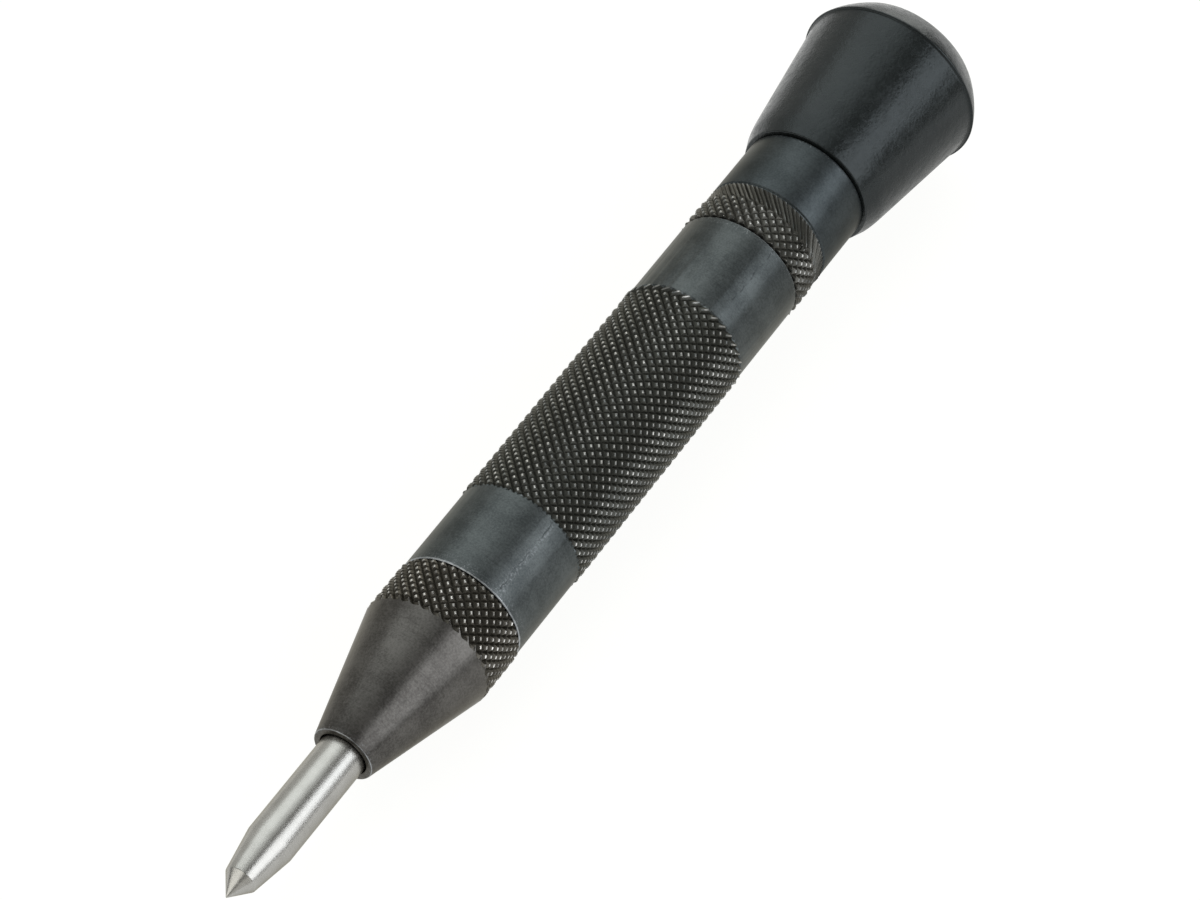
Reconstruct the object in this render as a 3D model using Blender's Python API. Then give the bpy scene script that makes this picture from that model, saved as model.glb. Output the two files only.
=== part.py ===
"""Automatic center punch, lying along X with its point towards -X.

Every turned piece shares the tool's axis. Distances along the axis are counted from the tip of the point.
"""

import math

import bmesh
import bpy

# Clearances, in metres like every other size
SEAT_GAP = 0.0003
RUN_GAP = 0.0003

# Punch point: ground tip, tapered neck, straight shank, threaded tang
POINT_DIAMETER = 0.00576
POINT_REACH = 0.0223
TIP_LENGTH = 0.00275
TIP_DIAMETER = 0.00392
TAPER_LENGTH = 0.0055
TANG_DIAMETER = 0.0038
TANG_LENGTH = 0.0060

# Nose cone
NOSE_LIP_WIDTH = 0.00062
NOSE_CONE_LENGTH = 0.0167
NOSE_BAND_LENGTH = 0.0063
NOSE_BAND_RAISE = 0.0002
NOSE_GUIDE_LENGTH = 0.0087
NOSE_THREAD_LENGTH = 0.0084

# Barrel
BARREL_DIAMETER = 0.0160
BARREL_LENGTH = 0.0597
FRONT_BAND_LENGTH = 0.0123
GRIP_LENGTH = 0.0346
GRIP_RAISE = 0.00014
FRONT_WALL = 0.0014
REAR_WALL = 0.0012
EDGE_BREAK = 0.00025

# Trip: how far the point goes in before it lets go, and how far the taper pushes the block
STROKE = 0.008
CAM_RISE = 0.001
BLOCK_SETBACK = 0.006
BLOCK_WALL = 0.0006
BLOCK_DOME_RADIUS = 0.0055
BLOCK_FLOOR_GAP = 0.0004
BLOCK_POCKET_ROOF = 0.0008

# Plunger, pin and hammer
HEAD_BACK_WALL = 0.0012
PIN_DIAMETER = 0.0030
STEM_WALL = 0.0006
HAMMER_LEDGE = 0.0010
HAMMER_LENGTH = 0.0260
HAMMER_TAIL_LENGTH = 0.0080
HAMMER_CROSS_FLOOR = 0.0011

# Springs: wire, space between turns along the axis, space round the outside
MAIN_WIRE = 0.0016
MAIN_PITCH = 0.0032
MAIN_SIDE_GAP = 0.0006
RETURN_WIRE = 0.0007
RETURN_PITCH = 0.0021
TRIP_WIRE = 0.0003
TRIP_PITCH = 0.00075
TRIP_COIL_DIAMETER = 0.0014
COIL_GAP = 0.0006

# Adjusting cap and the spring seat inside it
CAP_THREAD_LENGTH = 0.0106
CAP_BAND_LENGTH = 0.0061
CAP_BAND_RAISE = 0.00013
NECK_LENGTH = 0.0089
STUD_WALL = 0.0012
STUD_LENGTH = 0.0164
CAP_END_WALL = 0.0050
SEAT_THICKNESS = 0.0015
SEAT_PILOT_LENGTH = 0.0030
PILOT_GAP = 0.0007

# Soft end cap: its lip, flank, rim and crown, as rises above the neck and lengths along the axis
LIP_RISE = 0.00045
LIP_ROUND = 0.0004
LIP_LENGTH = 0.0025
FLANK_START_RISE = 0.0013
FLANK_LENGTH = 0.0145
FLANK_END_RISE = 0.0032
FLARE_LENGTH = 0.0024
RIM_RISE = 0.0039
CROWN_ROUND = 0.0027
CROWN_DROP = 0.0012
CROWN_HEIGHT = 0.0030
BEAD_WIDTH = 0.0020
BEAD_DEPTH = 0.0006
BEAD_SETBACK = 0.0012

# Fineness of the round forms
SIDES = 32
SLIM_SIDES = 20
ARC_STEPS = 5
COIL_POINTS = 9
MERGE_DISTANCE = 0.000001
SMOOTH_ANGLE = math.radians(30)

# Radii that follow from the sizes above
POINT_RADIUS = POINT_DIAMETER / 2
BARREL_RADIUS = BARREL_DIAMETER / 2
GUIDE_RADIUS = POINT_RADIUS + RUN_GAP
MOUTH_RADIUS = GUIDE_RADIUS + NOSE_LIP_WIDTH
NOSE_BAND_RADIUS = BARREL_RADIUS + NOSE_BAND_RAISE
FRONT_BORE_RADIUS = BARREL_RADIUS - FRONT_WALL
MAIN_BORE_RADIUS = FRONT_BORE_RADIUS - CAM_RISE
REAR_BORE_RADIUS = BARREL_RADIUS - REAR_WALL
NOSE_THREAD_RADIUS = FRONT_BORE_RADIUS - RUN_GAP
CAP_THREAD_RADIUS = REAR_BORE_RADIUS - RUN_GAP
COUNTERBORE_RADIUS = MAIN_BORE_RADIUS - HAMMER_LEDGE
HEAD_RADIUS = COUNTERBORE_RADIUS - RUN_GAP
HAMMER_RADIUS = MAIN_BORE_RADIUS - RUN_GAP
TANG_RADIUS = TANG_DIAMETER / 2
SOCKET_RADIUS = TANG_RADIUS + RUN_GAP
PIN_RADIUS = PIN_DIAMETER / 2
PIN_HOLE_RADIUS = PIN_RADIUS + RUN_GAP
STEM_RADIUS = PIN_HOLE_RADIUS + STEM_WALL
BLOCK_RADIUS = PIN_HOLE_RADIUS + BLOCK_WALL
CROSS_HOLE_RADIUS = BLOCK_RADIUS + RUN_GAP
MAIN_COIL_RADIUS = MAIN_BORE_RADIUS - MAIN_SIDE_GAP - MAIN_WIRE / 2
RETURN_COIL_RADIUS = (STEM_RADIUS + COUNTERBORE_RADIUS) / 2
TRIP_COIL_RADIUS = TRIP_COIL_DIAMETER / 2
POCKET_RADIUS = TRIP_COIL_RADIUS + TRIP_WIRE / 2 + RUN_GAP
PILOT_RADIUS = MAIN_COIL_RADIUS - MAIN_WIRE / 2 - PILOT_GAP
SEAT_RADIUS = MAIN_BORE_RADIUS - RUN_GAP
STUD_RADIUS = MAIN_BORE_RADIUS + STUD_WALL
CAVITY_RADIUS = STUD_RADIUS + RUN_GAP
RIM_RADIUS = BARREL_RADIUS + RIM_RISE

# Places along the axis, from the tip
NOSE_FRONT = POINT_REACH
NOSE_BAND_START = NOSE_FRONT + NOSE_CONE_LENGTH
NOSE_BACK = NOSE_BAND_START + NOSE_BAND_LENGTH
SPIGOT_END = NOSE_BACK + NOSE_THREAD_LENGTH
COUNTERBORE_START = NOSE_FRONT + NOSE_GUIDE_LENGTH
BARREL_FRONT = NOSE_BACK + SEAT_GAP
BARREL_BACK = BARREL_FRONT + BARREL_LENGTH
GRIP_START = BARREL_FRONT + FRONT_BAND_LENGTH
GRIP_END = GRIP_START + GRIP_LENGTH
HAMMER_FRONT = SPIGOT_END + SEAT_GAP
HAMMER_BACK = HAMMER_FRONT + HAMMER_LENGTH
HAMMER_TAIL_END = HAMMER_BACK + HAMMER_TAIL_LENGTH
BLOCK_CENTRE = HAMMER_FRONT + BLOCK_SETBACK
HEAD_FRONT = COUNTERBORE_START + SEAT_GAP
SOCKET_END = HEAD_FRONT + TANG_LENGTH
HEAD_BACK = SOCKET_END + HEAD_BACK_WALL
STRIKE_FACE = HAMMER_FRONT - STROKE
SHANK_END = HEAD_FRONT - SEAT_GAP
PIN_FRONT = HEAD_BACK + SEAT_GAP
PIN_BACK = BLOCK_CENTRE - BLOCK_RADIUS - SEAT_GAP
PIN_HOLE_END = PIN_BACK + STROKE + SEAT_GAP
CAP_FRONT = BARREL_BACK + SEAT_GAP
CAP_THREAD_FRONT = CAP_FRONT - CAP_THREAD_LENGTH
REAR_BORE_START = CAP_THREAD_FRONT - SEAT_GAP
CAP_BAND_END = CAP_FRONT + CAP_BAND_LENGTH
NECK_END = CAP_BAND_END + NECK_LENGTH
STUD_END = NECK_END + STUD_LENGTH
CAP_BORE_END = STUD_END - CAP_END_WALL
SEAT_BACK = CAP_BORE_END - SEAT_GAP
SEAT_FRONT = SEAT_BACK - SEAT_THICKNESS
GROOVE_END = STUD_END - BEAD_SETBACK
GROOVE_START = GROOVE_END - BEAD_WIDTH - 2 * SEAT_GAP
LIP_FRONT = NECK_END + SEAT_GAP
FLANK_START = LIP_FRONT + LIP_LENGTH
FLANK_END = FLANK_START + FLANK_LENGTH
RIM_PLACE = FLANK_END + FLARE_LENGTH
CROWN_START = RIM_PLACE + CROWN_ROUND
OVERALL_LENGTH = CROWN_START + CROWN_HEIGHT

# Heights of the trip block and its spring, from the axis
CROSS_FLOOR = HAMMER_CROSS_FLOOR - HAMMER_RADIUS
BLOCK_BOTTOM = CROSS_FLOOR + CAM_RISE + BLOCK_FLOOR_GAP
BLOCK_TOP = FRONT_BORE_RADIUS - RUN_GAP
POCKET_ROOF = CAM_RISE - PIN_HOLE_RADIUS - BLOCK_POCKET_ROOF

# The tool lies on the flat under its widest ring
AXIS_HEIGHT = max(RIM_RADIUS, NOSE_BAND_RADIUS) * math.cos(math.pi / SIDES)


def clear_scene():
    """Take away everything that the file already holds."""
    for item in list(bpy.data.objects):
        bpy.data.objects.remove(item, do_unlink=True)


def finish(name, colour, roughness, metallic):
    """A material of one colour, roughness and metallic value."""
    material = bpy.data.materials.new(name)
    material.use_nodes = True
    shader = material.node_tree.nodes["Principled BSDF"]
    shader.inputs["Base Color"].default_value = (*colour, 1.0)
    shader.inputs["Roughness"].default_value = roughness
    shader.inputs["Metallic"].default_value = metallic
    return material


def place(name, data, parent, material=None, location=(0, 0, 0)):
    """Add one object to the scene, carried by its parent."""
    item = bpy.data.objects.new(name, data)
    bpy.context.scene.collection.objects.link(item)
    item.parent = parent
    item.location = location
    if material:
        data.materials.append(material)
    return item


def turned_mesh(name, outline, along, sides):
    """Spin an outline of (place, radius) points once round X or Z.

    An outline that starts and ends on the axis closes there; any other closes on itself, as a tube does.
    The first edge starts half a side from straight down, so that a flat lies underneath.
    """
    start = math.pi / sides - math.pi / 2
    shape = bmesh.new()
    points = []
    for distance, radius in outline:
        side = radius * math.cos(start)
        rise = radius * math.sin(start)
        spot = (distance, side, rise) if along == "X" else (side, rise, distance)
        points.append(shape.verts.new(spot))
    pairs = list(zip(points, points[1:]))
    if outline[0][1] > 0:
        pairs.append((points[-1], points[0]))
    edges = [shape.edges.new(pair) for pair in pairs]
    axis = (1, 0, 0) if along == "X" else (0, 0, 1)
    bmesh.ops.spin(shape, geom=points + edges, cent=(0, 0, 0), axis=axis,
                   angle=2 * math.pi, steps=sides, use_merge=True)
    bmesh.ops.remove_doubles(shape, verts=shape.verts, dist=MERGE_DISTANCE)
    bmesh.ops.recalc_face_normals(shape, faces=shape.faces)
    mesh = bpy.data.meshes.new(name)
    shape.to_mesh(mesh)
    shape.free()
    mesh.shade_smooth()
    mesh.set_sharp_from_angle(angle=SMOOTH_ANGLE)
    return mesh


def turned(name, outline, material, parent, along="X", sides=SIDES, location=(0, 0, 0)):
    """A turned piece as an object of its own."""
    return place(name, turned_mesh(name, outline, along, sides), parent, material, location)


def drill(piece, low, high, radius, along, location):
    """Cut a round hole from low to high along X or Z through a place on the piece."""
    outline = [(low, 0), (low, radius), (high, radius), (high, 0)]
    mesh = turned_mesh(piece.name + "_drill", outline, along, SLIM_SIDES)
    cutter = place(mesh.name, mesh, piece, location=location)
    cutter.hide_render = True
    cutter.display_type = "WIRE"
    cut = piece.modifiers.new("hole", "BOOLEAN")
    cut.operation = "DIFFERENCE"
    cut.solver = "EXACT"
    cut.object = cutter


def arc(centre, radius, start, end):
    """Points of a circular arc round (place, radius), with angles in degrees from the axis direction."""
    points = []
    for step in range(ARC_STEPS + 1):
        angle = math.radians(start + (end - start) * step / ARC_STEPS)
        points.append((centre[0] + radius * math.cos(angle), centre[1] + radius * math.sin(angle)))
    return points


def sweep(first, pull, last):
    """Points of a smooth bend from first to last, drawn towards pull."""
    points = []
    for step in range(ARC_STEPS + 1):
        share = step / ARC_STEPS
        weights = ((1 - share) ** 2, 2 * share * (1 - share), share ** 2)
        points.append(tuple(sum(w * p[i] for w, p in zip(weights, (first, pull, last))) for i in range(2)))
    return points


def coil_points(length, radius, wire, pitch, squared):
    """Points of a wire wound between two seats, with its squared end turns close together.

    Each end runs straight on for one wire diameter.
    """
    close = wire + COIL_GAP
    travel = length - wire
    free = travel - 2 * squared * close
    steps = round(COIL_POINTS * (2 * squared + free / pitch))
    turns = steps / COIL_POINTS
    rise = free / (turns - 2 * squared)
    points = []
    for step in range(steps + 1):
        turn = step / COIL_POINTS
        ends = min(turn, squared) + max(turn - turns + squared, 0)
        middle = turn - ends
        angle = 2 * math.pi * turn
        points.append((wire / 2 + ends * close + middle * rise, radius * math.cos(angle), radius * math.sin(angle)))
    last = 2 * math.pi * turns
    tail = (points[-1][0], points[-1][1] - wire * math.sin(last), points[-1][2] + wire * math.cos(last))
    lead = (points[0][0], points[0][1], points[0][2] - wire)
    return [lead] + points + [tail]


def least_gap(points, wire):
    """Smallest space between the wire and itself, more than half a turn apart."""
    apart = COIL_POINTS // 2 + 1
    nearest = math.inf
    for index, spot in enumerate(points):
        for other in points[index + apart:]:
            nearest = min(nearest, math.dist(spot, other))
    return nearest - wire


def spring(name, span, radius, wire, pitch, squared, material, parent, along="X", location=(0, 0, 0)):
    """A spring between the two places of its span."""
    points = coil_points(span[1] - span[0], radius, wire, pitch, squared)
    print(name, "least gap to itself", round(least_gap(points, wire) * 1000, 3), "mm")
    curve = bpy.data.curves.new(name, "CURVE")
    curve.dimensions = "3D"
    curve.bevel_depth = wire / 2
    curve.bevel_resolution = 1
    curve.use_fill_caps = True
    wound = curve.splines.new("POLY")
    wound.points.add(len(points) - 1)
    for knot, (distance, side, rise) in zip(wound.points, points):
        along_axis = span[0] + distance
        spot = (along_axis, side, rise) if along == "X" else (side, rise, along_axis)
        knot.co = (*spot, 1)
    return place(name, curve, parent, material, location)


def make_punch_point(parent):
    outline = [
        (0, 0),
        (TIP_LENGTH, TIP_DIAMETER / 2),
        (TIP_LENGTH + TAPER_LENGTH, POINT_RADIUS),
        (SHANK_END, POINT_RADIUS),
        (SHANK_END, TANG_RADIUS),
        (SOCKET_END - SEAT_GAP, TANG_RADIUS),
        (SOCKET_END - SEAT_GAP, 0),
    ]
    return turned("punch_point", outline, finish("point_steel", (0.52, 0.50, 0.47), 0.3, 1.0), parent)


def make_nose_cone(parent):
    outline = [
        (NOSE_FRONT, GUIDE_RADIUS),
        (NOSE_FRONT, MOUTH_RADIUS),
        (NOSE_BAND_START, NOSE_BAND_RADIUS),
        (NOSE_BACK - EDGE_BREAK, NOSE_BAND_RADIUS),
        (NOSE_BACK, NOSE_BAND_RADIUS - EDGE_BREAK),
        (NOSE_BACK, NOSE_THREAD_RADIUS),
        (SPIGOT_END, NOSE_THREAD_RADIUS),
        (SPIGOT_END, COUNTERBORE_RADIUS),
        (COUNTERBORE_START, COUNTERBORE_RADIUS),
        (COUNTERBORE_START, GUIDE_RADIUS),
    ]
    return turned("nose_cone", outline, finish("nose_black_oxide", (0.085, 0.08, 0.078), 0.4, 0.9), parent)


def make_barrel(parent):
    outline = [
        (BARREL_FRONT, BARREL_RADIUS - EDGE_BREAK),
        (BARREL_FRONT + EDGE_BREAK, BARREL_RADIUS),
        (GRIP_START, BARREL_RADIUS),
        (GRIP_START + GRIP_RAISE, BARREL_RADIUS + GRIP_RAISE),
        (GRIP_END - GRIP_RAISE, BARREL_RADIUS + GRIP_RAISE),
        (GRIP_END, BARREL_RADIUS),
        (BARREL_BACK - EDGE_BREAK, BARREL_RADIUS),
        (BARREL_BACK, BARREL_RADIUS - EDGE_BREAK),
        (BARREL_BACK, REAR_BORE_RADIUS),
        (REAR_BORE_START, REAR_BORE_RADIUS),
        (REAR_BORE_START, MAIN_BORE_RADIUS),
        (BLOCK_CENTRE + STROKE, MAIN_BORE_RADIUS),
        (BLOCK_CENTRE, FRONT_BORE_RADIUS),
        (BARREL_FRONT, FRONT_BORE_RADIUS),
    ]
    return turned("barrel", outline, finish("barrel_black_oxide", (0.07, 0.075, 0.08), 0.42, 0.9), parent)


def make_plunger(parent):
    outline = [
        (SOCKET_END, 0),
        (SOCKET_END, SOCKET_RADIUS),
        (HEAD_FRONT, SOCKET_RADIUS),
        (HEAD_FRONT, HEAD_RADIUS),
        (HEAD_BACK, HEAD_RADIUS),
        (HEAD_BACK, STEM_RADIUS),
        (STRIKE_FACE, STEM_RADIUS),
        (STRIKE_FACE, PIN_HOLE_RADIUS),
        (HEAD_BACK, PIN_HOLE_RADIUS),
        (HEAD_BACK, 0),
    ]
    return turned("plunger", outline, finish("plunger_steel", (0.42, 0.42, 0.43), 0.35, 1.0), parent)


def make_release_pin(parent):
    outline = [
        (PIN_FRONT, 0),
        (PIN_FRONT, PIN_RADIUS),
        (PIN_BACK - EDGE_BREAK, PIN_RADIUS),
        (PIN_BACK, PIN_RADIUS - EDGE_BREAK),
        (PIN_BACK, 0),
    ]
    steel = finish("pin_steel", (0.5, 0.5, 0.51), 0.25, 1.0)
    return turned("release_pin", outline, steel, parent, sides=SLIM_SIDES)


def make_return_spring(parent):
    span = (HEAD_BACK + SEAT_GAP, HAMMER_FRONT - SEAT_GAP)
    wire = finish("return_wire", (0.36, 0.36, 0.38), 0.3, 1.0)
    return spring("return_spring", span, RETURN_COIL_RADIUS, RETURN_WIRE, RETURN_PITCH, 1, wire, parent)


def make_hammer(parent):
    outline = [
        (PIN_HOLE_END, 0),
        (PIN_HOLE_END, PIN_HOLE_RADIUS),
        (HAMMER_FRONT, PIN_HOLE_RADIUS),
        (HAMMER_FRONT, HAMMER_RADIUS - EDGE_BREAK),
        (HAMMER_FRONT + EDGE_BREAK, HAMMER_RADIUS),
        (HAMMER_BACK, HAMMER_RADIUS),
        (HAMMER_BACK, PILOT_RADIUS),
        (HAMMER_TAIL_END - EDGE_BREAK, PILOT_RADIUS),
        (HAMMER_TAIL_END, PILOT_RADIUS - EDGE_BREAK),
        (HAMMER_TAIL_END, 0),
    ]
    hammer = turned("hammer", outline, finish("hammer_steel", (0.3, 0.3, 0.31), 0.38, 1.0), parent)
    drill(hammer, CROSS_FLOOR, BARREL_RADIUS, CROSS_HOLE_RADIUS, "Z", (BLOCK_CENTRE, 0, 0))
    return hammer


def make_trip_block(parent):
    dome_depth = BLOCK_DOME_RADIUS - math.sqrt(BLOCK_DOME_RADIUS ** 2 - BLOCK_RADIUS ** 2)
    dome_edge = math.degrees(math.asin(BLOCK_RADIUS / BLOCK_DOME_RADIUS))
    dome = arc((BLOCK_TOP - BLOCK_DOME_RADIUS, 0), BLOCK_DOME_RADIUS, dome_edge, 0)
    outline = [
        (POCKET_ROOF, 0),
        (POCKET_ROOF, POCKET_RADIUS),
        (BLOCK_BOTTOM, POCKET_RADIUS),
        (BLOCK_BOTTOM, BLOCK_RADIUS),
        (BLOCK_TOP - dome_depth, BLOCK_RADIUS),
    ] + dome[1:-1] + [(BLOCK_TOP, 0)]
    steel = finish("trip_steel", (0.45, 0.44, 0.42), 0.28, 1.0)
    block = turned("trip_block", outline, steel, parent, "Z", SLIM_SIDES, (BLOCK_CENTRE, 0, 0))
    reach = BLOCK_RADIUS + BARREL_RADIUS
    drill(block, -reach, reach, PIN_HOLE_RADIUS, "X", (0, 0, CAM_RISE))
    return block


def make_trip_spring(parent):
    span = (CROSS_FLOOR + SEAT_GAP, POCKET_ROOF - SEAT_GAP)
    wire = finish("trip_wire", (0.4, 0.4, 0.41), 0.3, 1.0)
    return spring("trip_spring", span, TRIP_COIL_RADIUS, TRIP_WIRE, TRIP_PITCH, 0, wire, parent,
                  "Z", (BLOCK_CENTRE, 0, 0))


def make_main_spring(parent):
    span = (HAMMER_BACK + SEAT_GAP, SEAT_FRONT - SEAT_GAP)
    wire = finish("main_wire", (0.33, 0.32, 0.31), 0.32, 1.0)
    return spring("main_spring", span, MAIN_COIL_RADIUS, MAIN_WIRE, MAIN_PITCH, 1, wire, parent)


def make_spring_seat(parent):
    outline = [
        (SEAT_FRONT - SEAT_PILOT_LENGTH, 0),
        (SEAT_FRONT - SEAT_PILOT_LENGTH, PILOT_RADIUS - EDGE_BREAK),
        (SEAT_FRONT - SEAT_PILOT_LENGTH + EDGE_BREAK, PILOT_RADIUS),
        (SEAT_FRONT, PILOT_RADIUS),
        (SEAT_FRONT, SEAT_RADIUS),
        (SEAT_BACK, SEAT_RADIUS),
        (SEAT_BACK, 0),
    ]
    return turned("spring_seat", outline, finish("seat_steel", (0.44, 0.44, 0.45), 0.35, 1.0), parent)


def make_adjusting_cap(parent):
    groove_radius = STUD_RADIUS - BEAD_DEPTH
    outline = [
        (CAP_BORE_END, 0),
        (CAP_BORE_END, MAIN_BORE_RADIUS),
        (CAP_THREAD_FRONT, MAIN_BORE_RADIUS),
        (CAP_THREAD_FRONT, CAP_THREAD_RADIUS),
        (CAP_FRONT, CAP_THREAD_RADIUS),
        (CAP_FRONT, BARREL_RADIUS - EDGE_BREAK),
        (CAP_FRONT + EDGE_BREAK, BARREL_RADIUS + CAP_BAND_RAISE),
        (CAP_BAND_END - CAP_BAND_RAISE, BARREL_RADIUS + CAP_BAND_RAISE),
        (CAP_BAND_END, BARREL_RADIUS),
        (NECK_END - EDGE_BREAK, BARREL_RADIUS),
        (NECK_END, BARREL_RADIUS - EDGE_BREAK),
        (NECK_END, STUD_RADIUS),
        (GROOVE_START, STUD_RADIUS),
        (GROOVE_START, groove_radius),
        (GROOVE_END, groove_radius),
        (GROOVE_END, STUD_RADIUS),
        (STUD_END, STUD_RADIUS),
        (STUD_END, 0),
    ]
    return turned("adjusting_cap", outline, finish("cap_black_oxide", (0.075, 0.08, 0.085), 0.42, 0.9), parent)


def make_end_cap(parent):
    bead_radius = CAVITY_RADIUS - BEAD_DEPTH
    lip_radius = BARREL_RADIUS + LIP_RISE
    flank_start = (FLANK_START, BARREL_RADIUS + FLANK_START_RISE)
    flank_end = (FLANK_END, BARREL_RADIUS + FLANK_END_RISE)
    rim = (RIM_PLACE, RIM_RADIUS)
    crown_edge = (CROWN_START, RIM_RADIUS - CROWN_DROP)
    dome_radius = (crown_edge[1] ** 2 + CROWN_HEIGHT ** 2) / (2 * CROWN_HEIGHT)
    dome_angle = math.degrees(math.asin(crown_edge[1] / dome_radius))
    crown = arc((OVERALL_LENGTH - dome_radius, 0), dome_radius, dome_angle, 0)
    outline = [
        (STUD_END + SEAT_GAP, 0),
        (STUD_END + SEAT_GAP, CAVITY_RADIUS),
        (GROOVE_END - SEAT_GAP, CAVITY_RADIUS),
        (GROOVE_END - SEAT_GAP, bead_radius),
        (GROOVE_START + SEAT_GAP, bead_radius),
        (GROOVE_START + SEAT_GAP, CAVITY_RADIUS),
        (LIP_FRONT, CAVITY_RADIUS),
    ]
    outline += arc((LIP_FRONT + LIP_ROUND, lip_radius - LIP_ROUND), LIP_ROUND, 180, 90)
    outline += sweep(outline[-1], (FLANK_START, lip_radius), flank_start)[1:]
    outline += sweep(flank_end, (RIM_PLACE - FLARE_LENGTH / 2, RIM_RADIUS - LIP_ROUND), rim)
    outline += sweep(rim, (RIM_PLACE + CROWN_ROUND / 2, RIM_RADIUS), crown_edge)[1:]
    outline += crown[1:-1]
    outline.append((OVERALL_LENGTH, 0))
    return turned("end_cap", outline, finish("end_cap_rubber", (0.03, 0.031, 0.032), 0.5, 0.0), parent)


def build():
    clear_scene()
    axis = place("tool_axis", None, None, location=(-OVERALL_LENGTH / 2, 0, AXIS_HEIGHT))
    barrel = make_barrel(axis)
    make_nose_cone(barrel)
    plunger = make_plunger(barrel)
    make_punch_point(plunger)
    make_release_pin(plunger)
    make_return_spring(plunger)
    hammer = make_hammer(barrel)
    make_trip_block(hammer)
    make_trip_spring(hammer)
    make_main_spring(barrel)
    seat = make_spring_seat(barrel)
    cap = make_adjusting_cap(seat)
    make_end_cap(cap)


build()
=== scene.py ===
"""Looks of an automatic center punch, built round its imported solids.

The tool lies along X with its point towards -X. Lengths are millimetres until they reach a mesh,
and places along the tool are counted from the tip of the point.
"""

import math

import bmesh
import bpy
from mathutils import Matrix, Vector


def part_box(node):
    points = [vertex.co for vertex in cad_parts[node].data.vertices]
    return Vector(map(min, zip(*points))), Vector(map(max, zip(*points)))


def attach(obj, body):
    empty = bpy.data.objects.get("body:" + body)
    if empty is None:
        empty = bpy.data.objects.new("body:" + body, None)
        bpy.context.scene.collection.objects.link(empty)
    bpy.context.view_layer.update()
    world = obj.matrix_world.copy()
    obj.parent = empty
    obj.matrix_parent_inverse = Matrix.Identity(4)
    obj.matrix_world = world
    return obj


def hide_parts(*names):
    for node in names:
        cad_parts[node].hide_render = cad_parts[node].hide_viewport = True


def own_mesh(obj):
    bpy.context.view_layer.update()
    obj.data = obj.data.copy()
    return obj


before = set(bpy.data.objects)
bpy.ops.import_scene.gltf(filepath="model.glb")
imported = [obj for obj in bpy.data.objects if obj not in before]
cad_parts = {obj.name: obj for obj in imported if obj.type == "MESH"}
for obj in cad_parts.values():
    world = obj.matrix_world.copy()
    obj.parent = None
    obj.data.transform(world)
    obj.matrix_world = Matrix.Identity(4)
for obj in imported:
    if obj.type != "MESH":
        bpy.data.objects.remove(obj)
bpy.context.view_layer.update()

MM = 0.001
TIP_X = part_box("punch_point")[0].x
AXIS_Z = (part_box("barrel")[0].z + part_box("barrel")[1].z) / 2

# Point
TIP_BLUNT = 0.06
TIP_CONE_END = 2.75
TIP_CONE_RADIUS = 1.96
POINT_TAPER_END = 8.25
POINT_RADIUS = 2.88
SHANK_END = 31.0
TANG_THREAD_START = 31.4
TANG_END = 37.0
TANG_RADIUS = 1.6

# Nose
NOSE_FRONT = 22.3
MOUTH_RADIUS = 3.8
GUIDE_END = 31.0
GUIDE_RADIUS = 3.03
NOSE_KNURL_START = 38.75
CONE_END = 39.0
NOSE_RADIUS = 8.2
NOSE_BACK = 45.36
NOSE_CHAMFER = 0.15
NOSE_THREAD_START = 45.6
NOSE_SPIGOT_END = 53.7
NOSE_SPIGOT_RADIUS = 5.95
NOSE_BORE_RADIUS = 4.6

# Knurled drum that the nose is cut with, longer than the nose at both ends
DRUM_START = 20.0
DRUM_END = 55.0
DRUM_OVERRUN = 1.0
DRUM_LEAD = 0.3
DRUM_FLARE = 1.08
DRUM_ROWS = 5

# Barrel
BARREL_FRONT = 45.52
BARREL_BACK = 105.36
BARREL_RADIUS = 8.0
BARREL_CHAMFER = 0.12
GRIP_START = 57.9
GRIP_END = 92.75
GRIP_ROWS = 26
GRIP_BACK_BARS = 0.42
RUN_OUT = 0.25
NOSE_SOCKET_RADIUS = 6.6
CAM_START = 60.0
CAM_END = 68.0
HAMMER_BORE_RADIUS = 5.6
CAP_SOCKET_START = 94.7
CAP_SOCKET_RADIUS = 6.8

# Screw cap
CAP_SPIGOT_START = 95.0
CAP_SPIGOT_RADIUS = 6.1
CAP_THREAD_START = 95.2
CAP_FRONT = 105.52
CAP_FACE_RADIUS = 7.75
CAP_FRONT_SEAM = 0.1
CAP_ROWS = 3
CAP_BACK_SEAM = 0.15
CAP_BAND_END = 111.7
CAP_STEP_RADIUS = 7.78
CAP_STEP_LAND = 0.12
CAP_STEP_END = 0.25
NECK_END = 120.68
NECK_CHAMFER = 0.1
CAP_BORE_END = 132.0
CAP_BORE_RADIUS = 5.6
HUB_END = 137.0
HUB_RADIUS = 6.8
HUB_GROOVE_START = 133.2
HUB_GROOVE_END = 135.8
HUB_GROOVE_RADIUS = 6.2

# Rubber cap
RUBBER_PLAY = 0.3
LIP_FRONT = 120.82
LIP_RADIUS = 8.5
LIP_ROUND = 0.22
FLANK_START = 123.4
FLANK_START_RADIUS = 9.3
FLANK_END = 140.15
FLANK_END_RADIUS = 11.47
RIM_PLACE = 140.6
RIM_RADIUS = 11.81
RIM_ROUND = 0.1
CROWN_START = 144.2
CROWN_RADIUS = 9.7
APEX = 146.0

# Knurl: diamonds round the tool, the blunt pyramids that stand on them, and the bars at their ends
KNURL_COUNT = 37
KNURL_PITCH = 1.335
KNURL_VALLEY = 7.84
KNURL_HEIGHT = 0.34
KNURL_WALL = 0.34
KNURL_TWIST = -0.03
CROWN_WALL = 0.06
CROWN_RISE = 0.03
BAR_LENGTH = 3.0

# Thread: how far its root and its ridge are sunk, and the shares of its pitch where its slopes end
ROOT_SINK = 0.02
RIDGE_SINK = 0.15
CREST_START = 0.42
CREST_END = 0.54
FOOT_END = 0.96

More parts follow.
